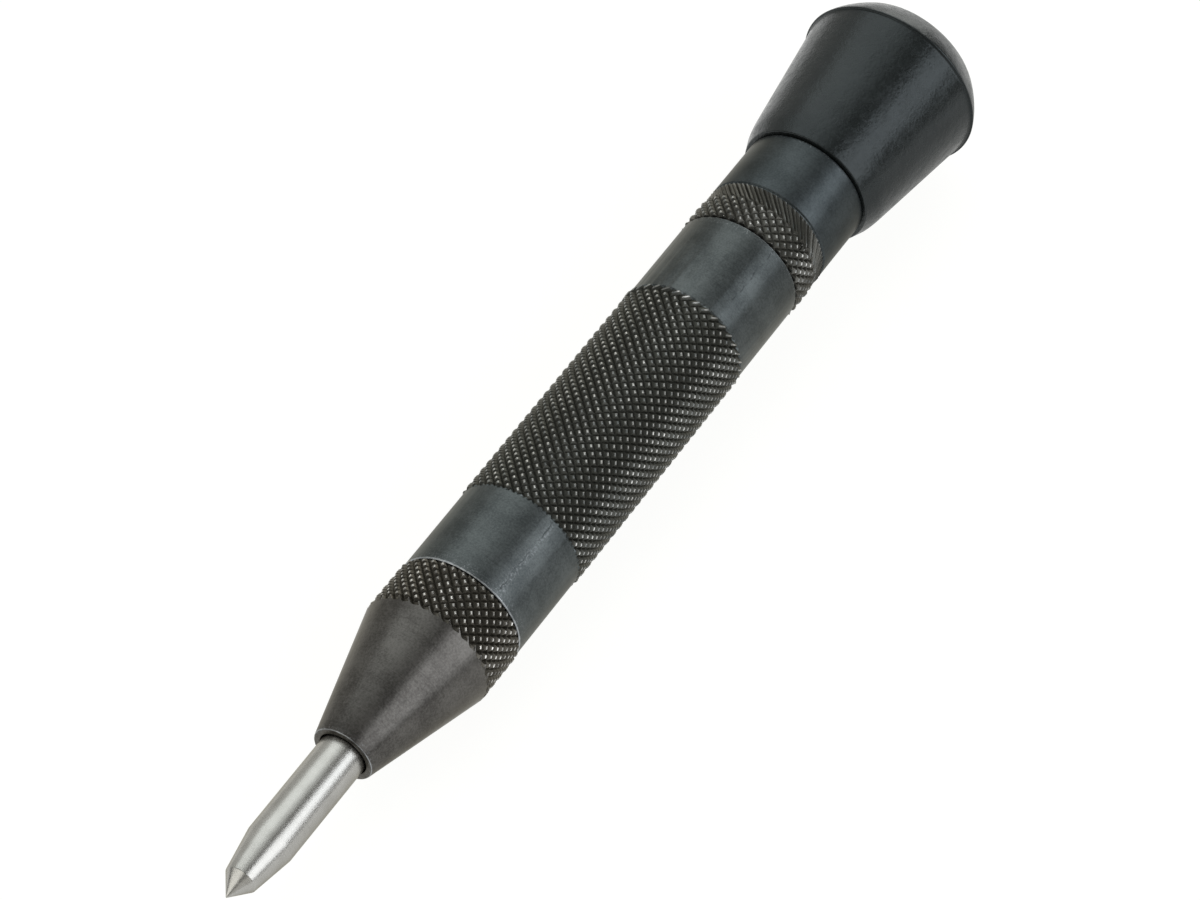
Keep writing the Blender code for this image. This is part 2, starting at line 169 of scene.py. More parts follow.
# Fineness of round shapes and coils, and how near counts as straight or as the same place
ROUND_SIDES = 128
THREAD_STEPS = 48
COIL_STEPS = 40
COIL_PLAY = 0.08
WIRE_STEPS = 4
EASE_STEPS = 3
STRAIGHT_NEAR = 0.05
NEAR = 0.01
RIM_NEAR = 0.02
MERGE_NEAR = 0.002
CUT_NEAR = 1e-7


def spot(along, out):
    """The point at a place along the tool and a distance out from its axis, on the upper side."""
    return Vector((TIP_X + along * MM, 0, AXIS_Z + out * MM))


def begin():
    """Leave nothing selected, so that the next operator acts on the new piece alone."""
    bpy.ops.object.select_all(action="DESELECT")
    bpy.context.view_layer.objects.active = None


def choose(*pieces):
    """Select these pieces, with the first one active."""
    begin()
    for piece in pieces:
        piece.select_set(True)
    bpy.context.view_layer.objects.active = pieces[0]


def edit(piece):
    choose(piece)
    bpy.ops.object.mode_set(mode="EDIT")
    bpy.ops.mesh.select_mode(type="VERT")


def leave():
    bpy.ops.object.mode_set(mode="OBJECT")


def settle():
    """Move the place and turn of the selected piece into its mesh."""
    bpy.ops.object.transform_apply(location=True, rotation=True, scale=True)


def change(piece, kind, **settings):
    """Put a modifier on a piece, set it and apply it."""
    choose(piece)
    modifier = piece.modifiers.new(kind.lower(), kind)
    for key, value in settings.items():
        setattr(modifier, key, value)
    bpy.ops.object.modifier_apply(modifier=modifier.name)


def pick(piece, kind, test):
    """In edit mode, select the edges or the faces that pass a test."""
    bpy.ops.mesh.select_mode(type={"edges": "EDGE", "faces": "FACE"}[kind])
    bpy.ops.mesh.select_all(action="DESELECT")
    shape = bmesh.from_edit_mesh(piece.data)
    for part in getattr(shape, kind):
        if test(part):
            part.select_set(True)
    bmesh.update_edit_mesh(piece.data)


def merge_doubles():
    """In edit mode, merge the corners that lie on each other."""
    bpy.ops.mesh.select_all(action="SELECT")
    bpy.ops.mesh.remove_doubles(threshold=MERGE_NEAR * MM)


def face_outwards():
    """In edit mode, turn every face outwards."""
    bpy.ops.mesh.select_all(action="SELECT")
    bpy.ops.mesh.normals_make_consistent(inside=False)


def pull(run):
    """In edit mode, pull the selected edges out along the tool."""
    bpy.ops.mesh.extrude_edges_move(TRANSFORM_OT_translate={"value": (run * MM, 0, 0)})


def along_of(corner):
    return (corner.co.x - TIP_X) / MM


def rim_at(place):
    """A test for the open edges of a tube at a place along the tool."""
    def test(edge):
        return edge.is_boundary and all(abs(along_of(corner) - place) < RIM_NEAR for corner in edge.verts)

    return test


def draw(outline):
    """In edit mode, draw an outline: a small plane merged to a point, then pulled from corner to corner."""
    bpy.ops.mesh.select_all(action="DESELECT")
    bpy.ops.mesh.primitive_plane_add(size=MM, location=spot(*outline[0]))
    bpy.ops.mesh.merge(type="CENTER")
    for here, there in zip(outline, outline[1:]):
        bpy.ops.mesh.extrude_vertices_move(TRANSFORM_OT_translate={"value": spot(*there) - spot(*here)})


def turn(name, *outlines):
    """Lathe work: outlines of (place, radius) spun once about the tool's axis."""
    begin()
    bpy.ops.mesh.primitive_plane_add(size=MM)
    piece = bpy.context.object
    piece.name = piece.data.name = name
    edit(piece)
    bpy.ops.mesh.delete(type="VERT")
    for outline in outlines:
        draw(outline)
    bpy.ops.mesh.select_all(action="SELECT")
    bpy.ops.mesh.spin(steps=ROUND_SIDES, angle=math.tau, center=spot(0, 0), axis=(1, 0, 0))
    merge_doubles()
    face_outwards()
    leave()
    return piece


def ease_edges(piece, width, angle):
    """Round the turned edges that are sharper than an angle, as a file or a tumbler would."""
    change(piece, "BEVEL", width=width * MM, segments=EASE_STEPS, limit_method="ANGLE",
           angle_limit=math.radians(angle))


def smooth(piece, angle=25):
    choose(piece)
    bpy.ops.object.shade_smooth_by_angle(angle=math.radians(angle))


def bend(*pulls, steps):
    """Outline points of a smooth bend from the first point to the last, drawn towards those between."""
    order = len(pulls) - 1
    points = []
    for step in range(steps + 1):
        share = step / steps
        weights = [math.comb(order, i) * share ** i * (1 - share) ** (order - i) for i in range(order + 1)]
        points.append(tuple(sum(w * point[axis] for w, point in zip(weights, pulls)) for axis in range(2)))
    return points


def arc(centre, radius, start, end, steps):
    """Outline points of an arc, with angles in degrees from the direction of the axis."""
    points = []
    for step in range(steps + 1):
        angle = math.radians(start + (end - start) * step / steps)
        points.append((centre[0] + radius * math.cos(angle), centre[1] + radius * math.sin(angle)))
    return points


def span_of(face):
    """The first and the last place along the tool that a face comes to."""
    places = [along_of(corner) for corner in face.verts]
    return min(places), max(places)


def straight(edge):
    """Whether an inner edge lies along the tool or square across it."""
    run = edge.verts[1].co - edge.verts[0].co
    return not edge.is_boundary and not STRAIGHT_NEAR < abs(run.x) / run.length < 1 - STRAIGHT_NEAR


def roll_knurl(name, first, rows, valley, front, back, cuts=0):
    """An open tube of raised diamonds, with slanted bars at its ends.

    A ring is pulled out row by row and poked. Each end is pulled on aslant, as where only one of the two
    knurling wheels ran. The edges along and across the tool dissolve, which leaves diamonds and bars, and
    each is raised on sloping walls. front and back are the bars' lean and the rise of their grooves, and
    cuts make the bars at the back finer.
    """
    last = first + rows * KNURL_PITCH
    begin()
    bpy.ops.mesh.primitive_circle_add(vertices=KNURL_COUNT, radius=valley * MM, location=spot(first, 0),
                                      rotation=(0, math.pi / 2, 0))
    tube = bpy.context.object
    tube.name = tube.data.name = name
    settle()
    edit(tube)
    bpy.ops.mesh.select_all(action="SELECT")
    for _ in range(rows):
        pull(KNURL_PITCH)
    face_outwards()
    bpy.ops.mesh.poke(offset=valley * (1 - math.cos(math.pi / KNURL_COUNT)) * MM)
    pull_bars(tube, first, -BAR_LENGTH, *front)
    pull_bars(tube, last, BAR_LENGTH, *back, cuts)
    step = math.tau / KNURL_COUNT

    def divides(edge):
        middle = (edge.verts[0].co + edge.verts[1].co) / 2 - spot(0, 0)
        finer = cuts and along_of(edge.verts[0]) > last - NEAR
        return straight(edge) and not (finer and math.atan2(middle.z, middle.y) % step > step / 2)

    pick(tube, "edges", divides)
    bpy.ops.mesh.dissolve_edges(use_verts=False)
    face_outwards()
    twist(tube, KNURL_TWIST)
    pick(tube, "faces", lambda face: span_of(face)[0] > first - NEAR and span_of(face)[1] < last + NEAR)
    raise_tops()
    twist(tube, -KNURL_TWIST)
    pick(tube, "faces", lambda face: span_of(face)[0] < first - NEAR)
    raise_tops()
    pick(tube, "faces", lambda face: span_of(face)[1] > last + NEAR)
    raise_tops(1 + cuts)
    leave()
    return tube


def pull_bars(tube, place, length, lean, rise, cuts=0):
    """Pull the open end of a tube on into strips that lean one way or the other and rise as they run out."""
    pick(tube, "edges", rim_at(place))
    if cuts:
        bpy.ops.mesh.subdivide(number_cuts=cuts)
    pull(length)
    end = spot(place + length, 0)
    bpy.ops.transform.rotate(value=lean * length / BARREL_RADIUS, orient_axis="X", center_override=end)
    growth = 1 + rise / BARREL_RADIUS
    bpy.ops.transform.resize(value=(1, growth, growth), center_override=end)


def twist(tube, rate):
    """From edit mode and back to it, twist a tube about the tool's axis by an angle per millimetre."""
    leave()
    choose(tube)
    bpy.context.scene.cursor.location = spot(0, 0)
    bpy.ops.object.origin_set(type="ORIGIN_CURSOR")
    places = [corner.co.x for corner in tube.data.vertices]
    angle = rate * (max(places) - min(places)) / MM
    change(tube, "SIMPLE_DEFORM", deform_method="TWIST", deform_axis="X", angle=angle)
    settle()
    bpy.context.scene.cursor.location = (0, 0, 0)
    edit(tube)


def raise_tops(finer=1):
    """Raise each selected face on sloping walls with a low crown, the walls smaller where bars are finer."""
    bpy.ops.mesh.inset(thickness=KNURL_WALL / finer * MM, depth=KNURL_HEIGHT / finer * MM,
                       use_individual=True)
    bpy.ops.mesh.inset(thickness=CROWN_WALL * MM, depth=CROWN_RISE * MM, use_individual=True)


def trim(tube, start, end):
    """Cut an open tube square at both ends."""
    edit(tube)
    for place, side in ((start, -1), (end, 1)):
        bpy.ops.mesh.select_all(action="SELECT")
        bpy.ops.mesh.bisect(plane_co=spot(place, 0), plane_no=(side, 0, 0), clear_outer=True,
                            threshold=CUT_NEAR)
    leave()


def fit_tube(piece, tube, *seams):
    """Join a knurled tube into a turned piece, and close the seam between each two open rims."""
    choose(piece, tube)
    bpy.ops.object.join()
    edit(piece)
    for seam in seams:
        pick(piece, "edges", lambda edge: any(rim_at(place)(edge) for place in seam))
        bpy.ops.mesh.bridge_edge_loops()
    face_outwards()
    leave()


def cut_thread(piece, start, turns, root, crest, pitch):
    """Give a turned shank a right-hand thread: a ridge carried round the axis by a Screw modifier."""
    begin()
    bpy.ops.mesh.primitive_plane_add(size=MM, location=spot(start, 0))
    ridge = bpy.context.object
    ridge.name = piece.name + "_thread"
    edit(ridge)
    bpy.ops.mesh.delete(type="VERT")
    sunk = root - RIDGE_SINK
    foot = start + FOOT_END * pitch
    draw([(start, sunk), (start, root), (start + CREST_START * pitch, crest),
          (start + CREST_END * pitch, crest), (foot, root), (foot, sunk), (start, sunk)])
    merge_doubles()
    leave()
    change(ridge, "SCREW", axis="X", angle=math.tau, screw_offset=pitch * MM, iterations=turns,
           steps=THREAD_STEPS, render_steps=THREAD_STEPS)
    settle()
    edit(ridge)
    bpy.ops.mesh.select_all(action="SELECT")
    bpy.ops.mesh.fill_holes(sides=0)
    face_outwards()
    leave()
    choose(piece, ridge)
    bpy.ops.object.join()


def wind_spring(name, low, high, radius, wire, pitch, squared, upright_at=None):
    """A spring between two places along the tool, or upright across it at one place.

    squared is how many turns at each end lie close together.
    """
    close = wire + COIL_PLAY * pitch
    free = high - low - wire - 2 * squared * close
    turns = 2 * squared + round(free / pitch)
    rise = free / (turns - 2 * squared)
    wound = bpy.data.curves.new(name, "CURVE")
    wound.dimensions = "3D"
    wound.bevel_depth = wire / 2 * MM
    wound.bevel_resolution = WIRE_STEPS
    wound.use_fill_caps = True
    line = wound.splines.new("POLY")
    line.points.add(COIL_STEPS * turns)
    for step, knot in enumerate(line.points):
        turned = step / COIL_STEPS
        ends = min(turned, squared) + max(turned - turns + squared, 0)
        place = low + wire / 2 + ends * close + (turned - ends) * rise
        side = radius * math.cos(math.tau * turned)
        lift = radius * math.sin(math.tau * turned)
        if upright_at is None:
            knot.co = (*(spot(place, lift) + Vector((0, side * MM, 0))), 1)
        else:
            knot.co = (*(spot(upright_at + side, place) + Vector((0, lift * MM, 0))), 1)
    piece = bpy.data.objects.new(name, wound)
    bpy.context.scene.collection.objects.link(piece)
    choose(piece)
    bpy.ops.object.convert(target="MESH")
    piece = bpy.context.object
    edit(piece)
    merge_doubles()
    face_outwards()
    leave()
    smooth(piece, 60)
    return piece


# Shader values and finishes

# Worn knurl tops: bare steel, partly a painted glint
WORN_STEEL_GLINT = (0.6, 0.59, 0.56)
# Pale colour of rubbed rims and of scrapes, on the rims partly a painted edge highlight
RUBBED_EDGE_HIGHLIGHT = (0.4, 0.42, 0.44)
BAND_BLUR = 0.05
NOSE_BAND_END = 46.0
NOSE_GLINTS_RISE = (39.1, 39.4)
NOSE_GLINTS_FALL = (39.5, 43.0)
CAP_GLINTS_FALL = (108.6, 109.8)
CAP_BARS_RISE = (108.9, 109.7)
CAP_BARS_DROP = 0.13


class Value:
    """One output of a node. Arithmetic on it adds Math nodes."""

    def __init__(self, finish, socket):
        self.finish = finish
        self.socket = socket

    def __add__(self, other):
        return self.finish.maths("ADD", self, other)

    def __radd__(self, other):
        return self.finish.maths("ADD", other, self)

    def __sub__(self, other):
        return self.finish.maths("SUBTRACT", self, other)

    def __rsub__(self, other):
        return self.finish.maths("SUBTRACT", other, self)

    def __mul__(self, other):
        return self.finish.maths("MULTIPLY", self, other)

    def __rmul__(self, other):
        return self.finish.maths("MULTIPLY", other, self)

    def __pow__(self, other):
        return self.finish.maths("POWER", self, other)


class Finish:
    """A material in the making, with the tool's own measures: along the axis, out from it and round it."""

    def __init__(self, name, **constants):
        self.material = bpy.data.materials.new(name)
        self.material.use_nodes = True
        self.tree = self.material.node_tree
        self.shader = self.tree.nodes["Principled BSDF"]
        for key, value in constants.items():
            self.shader.inputs[key.replace("_", " ")].default_value = value
        self.coords = self.node("ShaderNodeTexCoord", out="Object")
        centred = self.node("ShaderNodeVectorMath", {"operation": "SUBTRACT"},
                            {0: self.coords, 1: spot(0, 0)})
        self.place = self.node("ShaderNodeVectorMath", {"operation": "SCALE"}, {0: centred, "Scale": 1 / MM})
        self.along, side, rise = (self.node("ShaderNodeSeparateXYZ", {}, {0: self.place}, axis)
                                  for axis in "XYZ")
        self.out = (side * side + rise * rise) ** 0.5
        self.round = self.maths("ARCTAN2", side, rise)

    def node(self, kind, settings=None, values=None, out=0):
        """Add a node, set it, fill or link its sockets, and give one of its outputs."""
        made = self.tree.nodes.new(kind)
        for key, value in (settings or {}).items():
            setattr(made, key, value)
        for key, value in (values or {}).items():
            if isinstance(value, Value):
                self.tree.links.new(value.socket, made.inputs[key])
            else:
                made.inputs[key].default_value = value
        return Value(self, made.outputs[out])

    def maths(self, operation, first, second):
        return self.node("ShaderNodeMath", {"operation": operation}, {0: first, 1: second})

    def least(self, first, second):
        return self.maths("MINIMUM", first, second)

    def most(self, first, second):
        return self.maths("MAXIMUM", first, second)

    def vector(self, x, y, z):
        return self.node("ShaderNodeCombineXYZ", {}, {"X": x, "Y": y, "Z": z})

    def noise(self, scale, detail, rough, where=None):
        values = {"Vector": where or self.place, "Scale": scale, "Detail": detail, "Roughness": rough}
        return self.node("ShaderNodeTexNoise", {}, values)

    def ramp(self, value, low, high, first=0.0, last=1.0):
        """A smooth change from first, where value is low, to last, where it is high."""
        values = {"Value": value, "From Min": low, "From Max": high, "To Min": first, "To Max": last}
        return self.node("ShaderNodeMapRange", {"interpolation_type": "SMOOTHSTEP"}, values)

    def mix(self, share, first, second):
        values = {0: share, 6: colour(first), 7: colour(second)}
        return self.node("ShaderNodeMix", {"data_type": "RGBA"}, values, 2)

    def bump(self, height, distance, strength, under=None):
        values = {"Height": height, "Distance": distance * MM, "Strength": strength}
        if under:
            values["Normal"] = under
        return self.node("ShaderNodeBump", {}, values)

    def feed(self, **links):
        for key, value in links.items():
            self.tree.links.new(value.socket, self.shader.inputs[key.replace("_", " ")])
        return self.material


def colour(value):
    return value if isinstance(value, Value) else (*value, 1.0)


def toned(share, tint):
    """A colour made darker or paler by a share."""
    return tuple(share * part for part in tint)


def oxide_finish(name, dark, pale, flank, band, tops, roughness, edges, glints, scrapes=()):
    """Black oxide on turned steel, with a knurled band.

    dark and pale are the oxide's own colours, and flank is the colour of the knurl's sloping walls. band is
    the knurl's (first place, last place), tops gives the height of its tops at any place, edges are the
    (place, radius, width) of rims that were rubbed bright and carry a painted highlight, glints is a share of
    bright tops, worn to bare steel and partly a painted glint, and scrapes are the (angle, last place) of
    pale lengthwise marks with a dark line beside them. Deep in the knurl's grooves the colour is painted
    shade.
    """
    finish = Finish(name, Metallic=0.85, Specular_Tint=(0.7, 0.68, 0.62, 1))
    cloud = finish.noise(0.25, 3.0, 0.6)
    grain = finish.noise(4.0, 4.0, 0.7)
    rings = finish.noise(1.0, 2.0, 0.5, finish.vector(finish.along * 9.0, finish.round * 1.2, finish.out))
    tone = finish.ramp(cloud * 0.4 + grain * 0.48 + rings * 0.12, 0.34, 0.66)
    base = finish.mix(tone, dark, pale)

    in_band = finish.ramp(finish.along, band[0] - BAND_BLUR, band[0] + BAND_BLUR)
    in_band = in_band * finish.ramp(finish.along, band[1] - BAND_BLUR, band[1] + BAND_BLUR, 1.0, 0.0)
    depth = tops(finish) - finish.out
    clean = 1 - finish.ramp(finish.noise(0.13, 3.0, 0.6), 0.52, 0.66) * 0.45
    # Painted shade deep in the knurl's grooves, weaker in noisy patches
    groove_shade = finish.ramp(depth, 0.14, 0.36) * in_band * clean
    top = finish.ramp(depth, 0.04, 0.1, 1.0, 0.0) * in_band
    spread = finish.ramp(finish.noise(0.5, 2.0, 0.6), 0.3, 0.6)
    speckle = finish.ramp(finish.noise(1.7, 1.0, 0.5), 0.35, 0.6)
    # Bright knurl tops: worn bare steel, partly a painted glint
    wear_and_glint = top * (0.35 + spread * 0.65) * (0.3 + speckle * 0.7) * glints(finish) * clean
    base = finish.mix(finish.ramp(depth, 0.03, 0.12) * in_band * 0.9, base, flank)
    base = finish.mix(groove_shade * 0.4, base, toned(0.3, flank))
    base = finish.mix(wear_and_glint, base, WORN_STEEL_GLINT)

    scuff_field = finish.vector(finish.along * 0.5, finish.round * 9.0, finish.out)
    scuffs = finish.ramp(finish.noise(1.1, 4.0, 0.7, scuff_field), 0.66, 0.76) * (1 - in_band)
    base = finish.mix(scuffs * 0.3, base, toned(1.6, pale))
    for angle, last in scrapes:
        drift = finish.round - angle + (finish.noise(0.5, 4.0, 0.75) - 0.5) * 0.12
        beside = drift - 0.02
        patchy = finish.ramp(finish.noise(3.2, 3.0, 0.7), 0.45, 0.65)
        patchy = patchy * finish.ramp(finish.along, last - 1.0, last, 1.0, 0.0)
        pale_line = finish.ramp(finish.most(drift, 0 - drift), 0.01, 0.09, 1.0, 0.0) * patchy
        dark_line = finish.ramp(finish.most(beside, 0 - beside), 0.006, 0.016, 1.0, 0.0)
        dark_line = dark_line * finish.ramp(finish.noise(0.7, 2.0, 0.5), 0.4, 0.55) * (1 - in_band)
        base = finish.mix(pale_line * 0.22, base, RUBBED_EDGE_HIGHLIGHT)
        base = finish.mix(dark_line * 0.6, base, toned(0.4, dark))
    # Rims rubbed bright, partly a painted edge highlight, with worn specks near them
    rubbed = 0.0
    for place, radius, width in edges:
        away = ((finish.along - place) ** 2.0 + (finish.out - radius) ** 2.0) ** 0.5
        wear = finish.noise(1.6, 4.0, 0.7) * 1.2 + finish.noise(0.22, 2.0, 0.5) * 0.9
        edge = finish.ramp(away + wear * width, width * 1.2, width * 2.0, 1.0, 0.0)
        specks = finish.ramp(finish.noise(4.5, 3.0, 0.7), 0.55, 0.68)
        specks = specks * finish.ramp(away, width, width * 9, 0.4, 0.0) * (1 - in_band)
        rubbed = finish.most(rubbed, finish.most(edge, specks))
    base = finish.mix(rubbed, base, RUBBED_EDGE_HIGHLIGHT)
    rough = roughness + grain * 0.12 - wear_and_glint * 0.08 - in_band * 0.04 + groove_shade * 0.1
    normal = finish.bump(rings, 0.006, 0.5, finish.bump(grain, 0.014, 0.6))
    return finish.feed(Base_Color=base, Roughness=rough, Normal=normal)


def nose_tops(finish):
    """Height of the nose's knurl: the band, or the cone where the grooves run out on it."""
    slope = (NOSE_RADIUS - MOUTH_RADIUS) / (CONE_END - NOSE_FRONT)
    return finish.least(NOSE_RADIUS + (finish.along - CONE_END) * slope, NOSE_RADIUS)


def grip_tops(_):
    """Height of the knurl on the barrel, the same all along."""
    return KNURL_VALLEY + KNURL_HEIGHT + CROWN_RISE


def cap_tops(finish):
    """Height of the knurl on the screw cap, lower where its diamonds turn into bars."""
    return grip_tops(finish) - finish.ramp(finish.along, *CAP_BARS_RISE) * CAP_BARS_DROP


def point_finish():
    """Ground and hardened steel, frosted, with faint rings round it."""
    finish = Finish("point_ground_steel", Metallic=1.0, Specular_Tint=(0.6, 0.58, 0.52, 1))
    ring_field = finish.vector(finish.along * 14.0, finish.round * 0.7, finish.out * 2.0)
    rings = finish.noise(1.0, 4.0, 0.7, ring_field)
    frost = finish.noise(7.0, 3.0, 0.7)
    cloud = finish.noise(0.5, 3.0, 0.6)
    tone = finish.ramp(cloud * 0.35 + rings * 0.25 + frost * 0.4, 0.3, 0.7)
    base = finish.mix(tone, (0.39, 0.384, 0.365), (0.51, 0.505, 0.487))
    specks = finish.ramp(finish.noise(6.0, 2.0, 0.6), 0.62, 0.75)
    base = finish.mix(specks * 0.3, base, (0.26, 0.25, 0.23))
    rough = 0.17 + frost * 0.16 + cloud * 0.06
    normal = finish.bump(frost, 0.02, 0.6, finish.bump(rings, 0.004, 0.4))
    return finish.feed(Base_Color=base, Roughness=rough, Normal=normal)


def rubber_finish():
    """Smooth moulded rubber, with fine handling marks in its sheen."""
    finish = Finish("cap_rubber_black", Metallic=0.0, IOR=1.42, Specular_Tint=(0.86, 0.96, 1.0, 1))
    cloud = finish.noise(0.18, 4.0, 0.6)
    skin = finish.noise(2.6, 4.0, 0.65)
    marks = finish.ramp(finish.noise(0.8, 5.0, 0.75), 0.4, 0.66)
    tone = finish.ramp(cloud * 0.7 + skin * 0.3, 0.3, 0.7)
    base = finish.mix(tone, (0.007, 0.0083, 0.0085), (0.0125, 0.0148, 0.015))
    rough = 0.14 + cloud * 0.06 + marks * 0.15
    normal = finish.bump(skin, 0.07, 0.6, finish.bump(finish.noise(0.6, 2.0, 0.5), 0.15, 0.4))
    return finish.feed(Base_Color=base, Roughness=rough, Normal=normal)


def inner_finish(name, dark, pale, ring_scale):
    """Turned steel with tool rings and a film of oil, straw brown where the oil is thick."""
    finish = Finish(name, Metallic=1.0)
    ring_field = finish.vector(finish.along * ring_scale, finish.round * 0.8, finish.out * 3.0)
    rings = finish.noise(1.0, 3.0, 0.6, ring_field)
    cloud = finish.noise(0.4, 3.0, 0.6)
    base = finish.mix(finish.ramp(rings * 0.5 + cloud * 0.5, 0.3, 0.7), dark, pale)
    oil = finish.ramp(finish.noise(0.25, 2.0, 0.5), 0.45, 0.65)
    base = finish.mix(oil * 0.35, base, (0.2, 0.15, 0.09))
    rough = 0.26 + rings * 0.16 - oil * 0.06
    return finish.feed(Base_Color=base, Roughness=rough, Normal=finish.bump(rings, 0.01, 0.5))


def wire_finish(name, dark, pale):
    """Drawn spring wire, with fine marks and blued patches."""
    finish = Finish(name, Metallic=1.0)
    marks = finish.noise(2.5, 4.0, 0.7)
    blue = finish.ramp(finish.noise(0.3, 2.0, 0.5), 0.4, 0.65)
    base = finish.mix(finish.ramp(marks, 0.3, 0.7), dark, pale)
    base = finish.mix(blue * 0.4, base, (0.13, 0.14, 0.19))
    rough = 0.25 + marks * 0.18
    return finish.feed(Base_Color=base, Roughness=rough, Normal=finish.bump(marks, 0.006, 0.4))


def dress(piece, material, body=None, node=None):
    """Give a piece its material, and set it on the body of the solid that it stands for."""
    piece.data.materials.clear()
    piece.data.materials.append(material)
    if body:
        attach(piece, body)
        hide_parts(node)


# Pieces

def make_point():
    """The point: conical tip, tapered end, straight shank and threaded tang."""
    point = turn("ground_point", [
        (0, 0), (TIP_BLUNT, TIP_BLUNT), (TIP_CONE_END, TIP_CONE_RADIUS), (POINT_TAPER_END, POINT_RADIUS),
        (SHANK_END, POINT_RADIUS), (SHANK_END, TANG_RADIUS), (TANG_END, TANG_RADIUS), (TANG_END, 0)])
    ease_edges(point, width=0.06, angle=8)
    cut_thread(point, TANG_THREAD_START, turns=7, root=TANG_RADIUS - ROOT_SINK, crest=1.9, pitch=0.7)
    smooth(point)
    return point


def make_nose():
    """The nose: a turned guide, cut with a knurled drum so that the grooves run out on its cone."""
    nose = turn("knurled_nose", [
        (NOSE_FRONT, GUIDE_RADIUS), (NOSE_FRONT, MOUTH_RADIUS), (CONE_END, NOSE_RADIUS),
        (NOSE_BACK - NOSE_CHAMFER, NOSE_RADIUS), (NOSE_BACK, NOSE_RADIUS - NOSE_CHAMFER),
        (NOSE_BACK, NOSE_SPIGOT_RADIUS), (NOSE_SPIGOT_END, NOSE_SPIGOT_RADIUS),
        (NOSE_SPIGOT_END, NOSE_BORE_RADIUS), (GUIDE_END, NOSE_BORE_RADIUS), (GUIDE_END, GUIDE_RADIUS),
        (NOSE_FRONT, GUIDE_RADIUS)])
    ease_edges(nose, width=0.12, angle=12)
    start, end = NOSE_KNURL_START, NOSE_BACK + DRUM_OVERRUN
    drum = roll_knurl("nose_knurl", start + DRUM_LEAD, DRUM_ROWS, NOSE_RADIUS - KNURL_HEIGHT - CROWN_RISE,
                      front=(1, 0.2), back=(1, 0))
    trim(drum, start, end)
    edit(drum)
    pick(drum, "edges", rim_at(start))
    pull(-DRUM_LEAD)
    bpy.ops.transform.resize(value=(1, DRUM_FLARE, DRUM_FLARE), center_override=spot(start - DRUM_LEAD, 0))
    pull(DRUM_START - start)
    bpy.ops.mesh.edge_face_add()
    pick(drum, "edges", rim_at(end))
    pull(DRUM_END - end)
    bpy.ops.mesh.edge_face_add()
    face_outwards()
    leave()
    change(nose, "BOOLEAN", operation="INTERSECT", solver="EXACT", object=drum)
    bpy.data.objects.remove(drum)
    cut_thread(nose, NOSE_THREAD_START, turns=7, root=NOSE_SPIGOT_RADIUS - ROOT_SINK, crest=6.3, pitch=1.0)
    smooth(nose)
    return nose


def make_barrel():
    """The barrel: a turned tube with a cam taper in its bore, and a knurled grip let into its outside."""
    barrel = turn("knurled_barrel", [
        (GRIP_START - RUN_OUT, BARREL_RADIUS), (BARREL_FRONT + BARREL_CHAMFER, BARREL_RADIUS),
        (BARREL_FRONT, BARREL_RADIUS - BARREL_CHAMFER), (BARREL_FRONT, NOSE_SOCKET_RADIUS),
        (CAM_START, NOSE_SOCKET_RADIUS), (CAM_END, HAMMER_BORE_RADIUS),
        (CAP_SOCKET_START, HAMMER_BORE_RADIUS),
        (CAP_SOCKET_START, CAP_SOCKET_RADIUS), (BARREL_BACK, CAP_SOCKET_RADIUS),
        (BARREL_BACK, BARREL_RADIUS - BARREL_CHAMFER), (BARREL_BACK - BARREL_CHAMFER, BARREL_RADIUS),
        (GRIP_END + RUN_OUT, BARREL_RADIUS)])
    ease_edges(barrel, width=0.05, angle=12)
    first = GRIP_END - GRIP_BACK_BARS - GRIP_ROWS * KNURL_PITCH
    grip = roll_knurl("grip_knurl", first, GRIP_ROWS, KNURL_VALLEY, front=(1, 0), back=(-1, 0.2))
    trim(grip, GRIP_START, GRIP_END)
    fit_tube(barrel, grip, (GRIP_START - RUN_OUT, GRIP_START), (GRIP_END, GRIP_END + RUN_OUT))
    smooth(barrel)
    return barrel


def make_cap():
    """The screw cap: a hollow spigot with a thread, a knurled band, a plain neck and a hub for the rubber."""
    start, end = CAP_FRONT + CAP_FRONT_SEAM, CAP_BAND_END - CAP_BACK_SEAM
    spigot = [(CAP_BORE_END, 0), (CAP_BORE_END, CAP_BORE_RADIUS), (CAP_SPIGOT_START, CAP_BORE_RADIUS),
              (CAP_SPIGOT_START, CAP_SPIGOT_RADIUS), (CAP_FRONT, CAP_SPIGOT_RADIUS),
              (CAP_FRONT, CAP_FACE_RADIUS)]
    neck = [(CAP_BAND_END, CAP_STEP_RADIUS), (CAP_BAND_END + CAP_STEP_LAND, CAP_STEP_RADIUS),
            (CAP_BAND_END + CAP_STEP_END, BARREL_RADIUS), (NECK_END - NECK_CHAMFER, BARREL_RADIUS),
            (NECK_END, BARREL_RADIUS - NECK_CHAMFER), (NECK_END, HUB_RADIUS)]
    hub = [(HUB_GROOVE_START, HUB_RADIUS), (HUB_GROOVE_START, HUB_GROOVE_RADIUS),
           (HUB_GROOVE_END, HUB_GROOVE_RADIUS), (HUB_GROOVE_END, HUB_RADIUS), (HUB_END, HUB_RADIUS),
           (HUB_END, 0)]
    cap = turn("adjusting_screw_cap", spigot, neck + hub)
    ease_edges(cap, width=0.04, angle=12)
    band = roll_knurl("cap_knurl", CAP_FRONT, CAP_ROWS, KNURL_VALLEY, front=(1, 0), back=(1, 0.22), cuts=1)
    trim(band, start, end)
    fit_tube(cap, band, (CAP_FRONT, start), (end, CAP_BAND_END))
    cut_thread(cap, CAP_THREAD_START, turns=9, root=CAP_SPIGOT_RADIUS - ROOT_SINK, crest=6.5, pitch=1.0)
    smooth(cap)
    return cap


